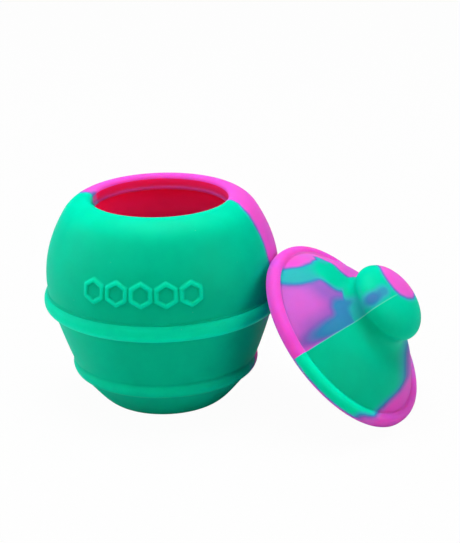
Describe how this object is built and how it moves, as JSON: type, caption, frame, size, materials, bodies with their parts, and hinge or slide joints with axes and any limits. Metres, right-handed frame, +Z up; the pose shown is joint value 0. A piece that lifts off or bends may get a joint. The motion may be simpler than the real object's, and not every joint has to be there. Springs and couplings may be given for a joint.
{
  "type": "honey pot",
  "caption": "Small silicone honey pot: a belted skep-shaped jar with an open mouth and a row of raised comb cells, and its loose domed lid with a mushroom knob leaning on the side.",
  "frame": {"origin": "centre of the pot's flat base, on the surface it stands on", "axes": "+Z up along the pot's axis, through the mouth; the raised comb cells face -Y; the lid leans on the pot's +X side"},
  "size_m": [0.0921, 0.0593, 0.0518],
  "materials": {
    "pot_silicone": "satin silicone, mint green in front and pink behind",
    "lid_silicone": "satin silicone, swirled pink, mint green and blue"
  },
  "bodies": {
    "pot_body": {"pot": "pot_silicone"},
    "lid_body": {"lid": "lid_silicone"}
  },
  "joints": [
    {"name": "lid_lift", "type": "slide", "parent": "pot_body", "child": "lid_body", "axis": [0, 0, 1], "range_m": [0, 0.054]}
  ]
}
